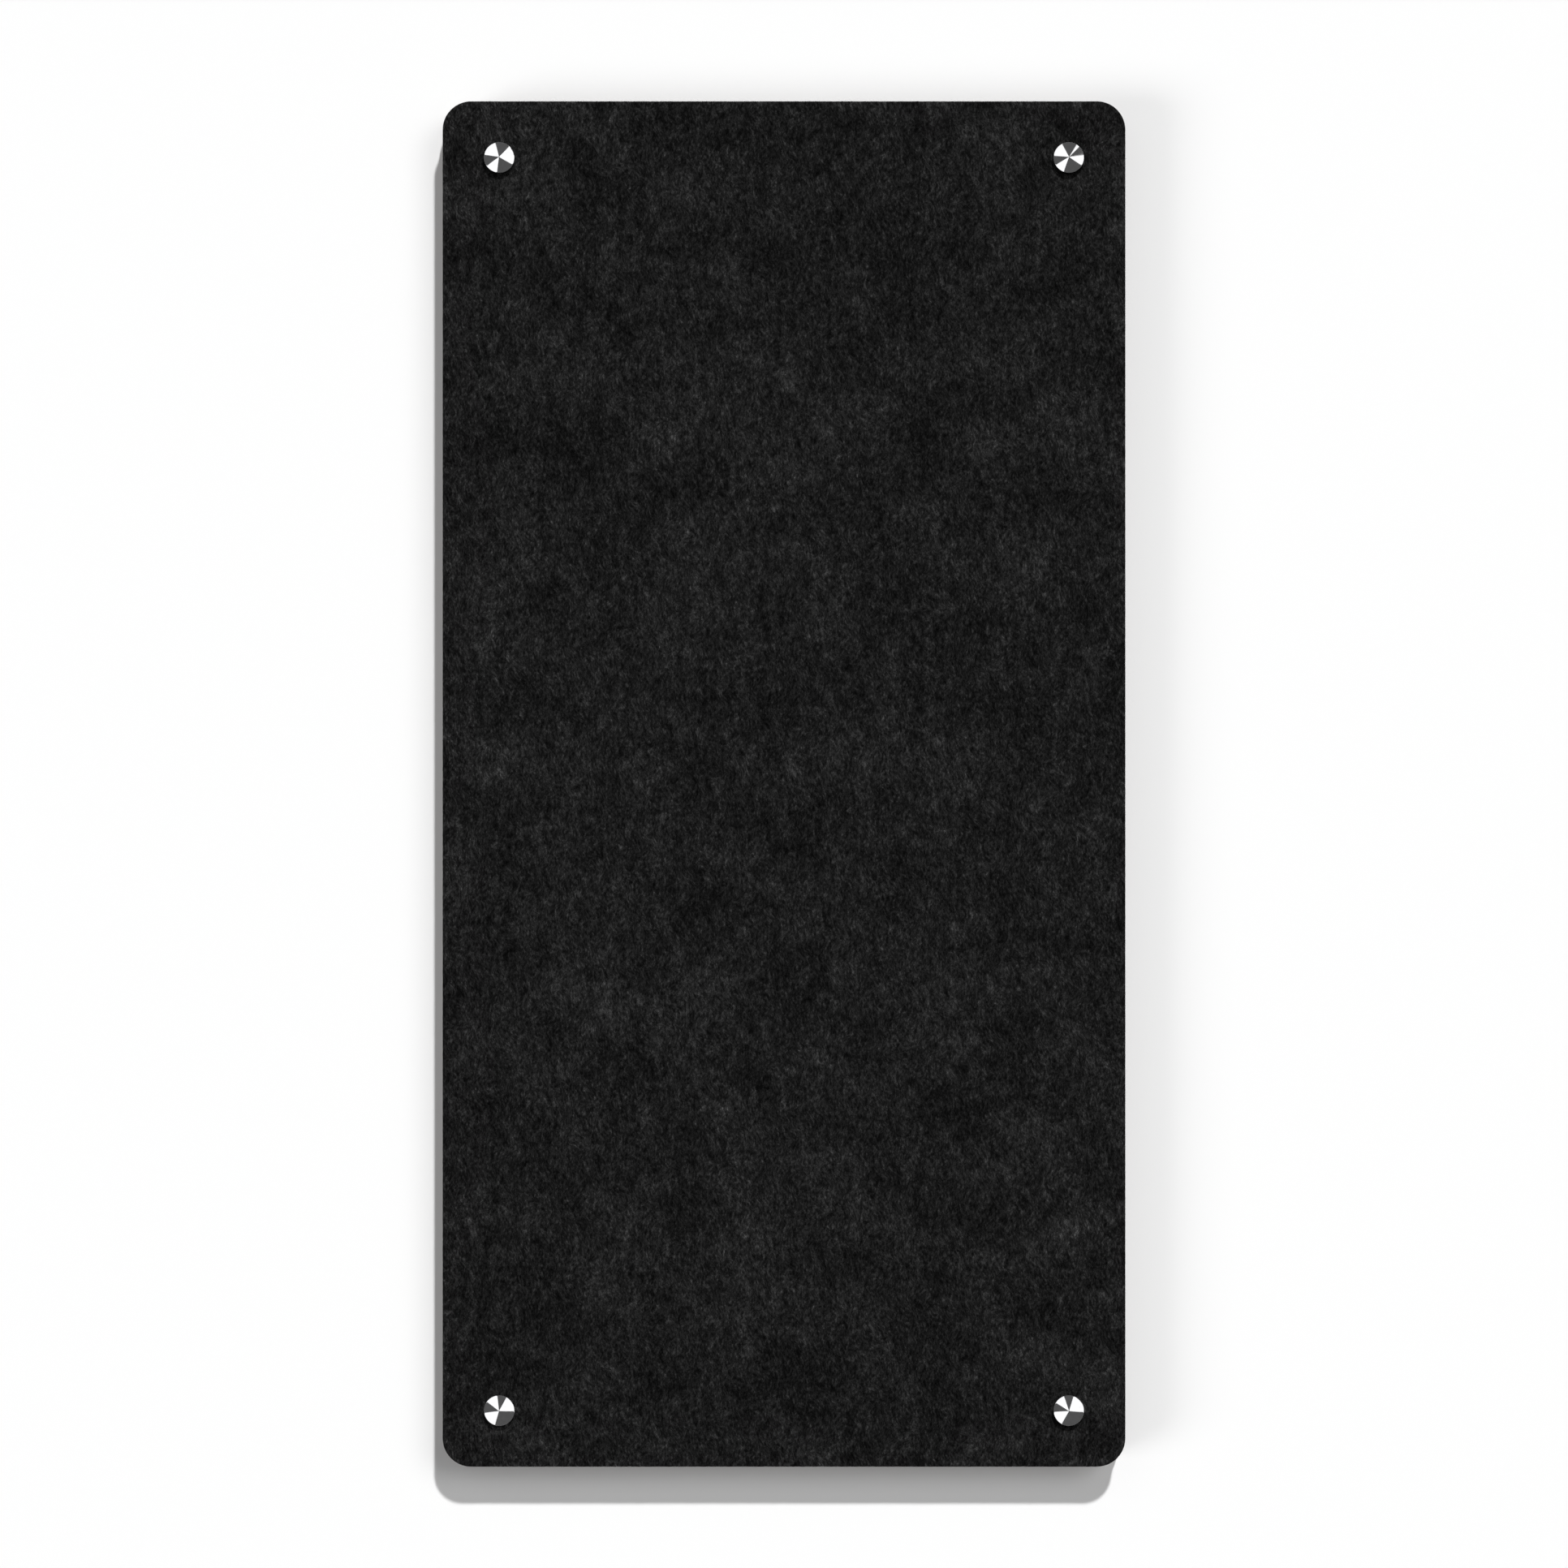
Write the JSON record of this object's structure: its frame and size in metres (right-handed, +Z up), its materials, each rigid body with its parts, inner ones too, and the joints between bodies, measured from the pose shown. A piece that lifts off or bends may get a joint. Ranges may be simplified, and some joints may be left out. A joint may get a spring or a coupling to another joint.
{
  "type": "wall pad",
  "caption": "Flat rectangular wall pad: black felt face on foam and a stiff backer, held off the wall by round stand-offs with polished conical caps.",
  "frame": {"origin": "middle of the hole grid, on the wall plane", "axes": "+X to the right and +Z up as seen from the room; -Y out of the wall, the way the felt faces"},
  "size_m": [0.6, 0.087, 1.2],
  "materials": {
    "felt": "matte",
    "foam": "matte",
    "plywood": "matte",
    "polished_steel": "polished",
    "satin_steel": "satin",
    "thread_steel": "satin",
    "zinc_steel": "satin",
    "rubber": "matte",
    "white_nylon": "satin",
    "plug_nylon": "satin"
  },
  "bodies": {
    "wall_fixings": {"wall_plug_tl": "plug_nylon", "wall_screw_tl": "zinc_steel", "barrel_tl": "satin_steel", "barrel_gasket_tl": "rubber", "wall_plug_tr": "plug_nylon", "wall_screw_tr": "zinc_steel", "barrel_tr": "satin_steel", "barrel_gasket_tr": "rubber", "wall_plug_bl": "plug_nylon", "wall_screw_bl": "zinc_steel", "barrel_bl": "satin_steel", "barrel_gasket_bl": "rubber", "wall_plug_br": "plug_nylon", "wall_screw_br": "zinc_steel", "barrel_br": "satin_steel", "barrel_gasket_br": "rubber"},
    "panel": {"backer_board": "plywood", "foam_core": "foam", "felt_face": "felt", "crush_sleeve_tl": "white_nylon", "crush_sleeve_tr": "white_nylon", "crush_sleeve_bl": "white_nylon", "crush_sleeve_br": "white_nylon"},
    "washer_tl": {"cap_washer_tl": "white_nylon"},
    "cap_stud_tl": {"cap_tl": "polished_steel", "stud_tl": "thread_steel"},
    "washer_tr": {"cap_washer_tr": "white_nylon"},
    "cap_stud_tr": {"cap_tr": "polished_steel", "stud_tr": "thread_steel"},
    "washer_bl": {"cap_washer_bl": "white_nylon"},
    "cap_stud_bl": {"cap_bl": "polished_steel", "stud_bl": "thread_steel"},
    "washer_br": {"cap_washer_br": "white_nylon"},
    "cap_stud_br": {"cap_br": "polished_steel", "stud_br": "thread_steel"}
  },
  "joints": [
    {"name": "panel_lift_off", "type": "slide", "parent": "wall_fixings", "child": "panel", "axis": [0, -1, 0], "range_m": [0, 0.05]},
    {"name": "cap_tl_back_out", "type": "slide", "parent": "panel", "child": "washer_tl", "axis": [0, -1, 0], "range_m": [0, 0.009]},
    {"name": "cap_tl_turn", "type": "hinge", "parent": "washer_tl", "child": "cap_stud_tl", "pos_m": [-0.25, 0, 0.55], "axis": [0, -1, 0], "range_deg": [0, 2160]},
    {"name": "cap_tr_back_out", "type": "slide", "parent": "panel", "child": "washer_tr", "axis": [0, -1, 0], "range_m": [0, 0.009]},
    {"name": "cap_tr_turn", "type": "hinge", "parent": "washer_tr", "child": "cap_stud_tr", "pos_m": [0.25, 0, 0.55], "axis": [0, -1, 0], "range_deg": [0, 2160]},
    {"name": "cap_bl_back_out", "type": "slide", "parent": "panel", "child": "washer_bl", "axis": [0, -1, 0], "range_m": [0, 0.009]},
    {"name": "cap_bl_turn", "type": "hinge", "parent": "washer_bl", "child": "cap_stud_bl", "pos_m": [-0.25, 0, -0.55], "axis": [0, -1, 0], "range_deg": [0, 2160]},
    {"name": "cap_br_back_out", "type": "slide", "parent": "panel", "child": "washer_br", "axis": [0, -1, 0], "range_m": [0, 0.009]},
    {"name": "cap_br_turn", "type": "hinge", "parent": "washer_br", "child": "cap_stud_br", "pos_m": [0.25, 0, -0.55], "axis": [0, -1, 0], "range_deg": [0, 2160]}
  ],
  "couplings": [
    {"joint": "cap_tl_back_out", "follows": "cap_tl_turn", "m_per_rad": 0.00023873},
    {"joint": "cap_tr_back_out", "follows": "cap_tr_turn", "m_per_rad": 0.00023873},
    {"joint": "cap_bl_back_out", "follows": "cap_bl_turn", "m_per_rad": 0.00023873},
    {"joint": "cap_br_back_out", "follows": "cap_br_turn", "m_per_rad": 0.00023873}
  ]
}
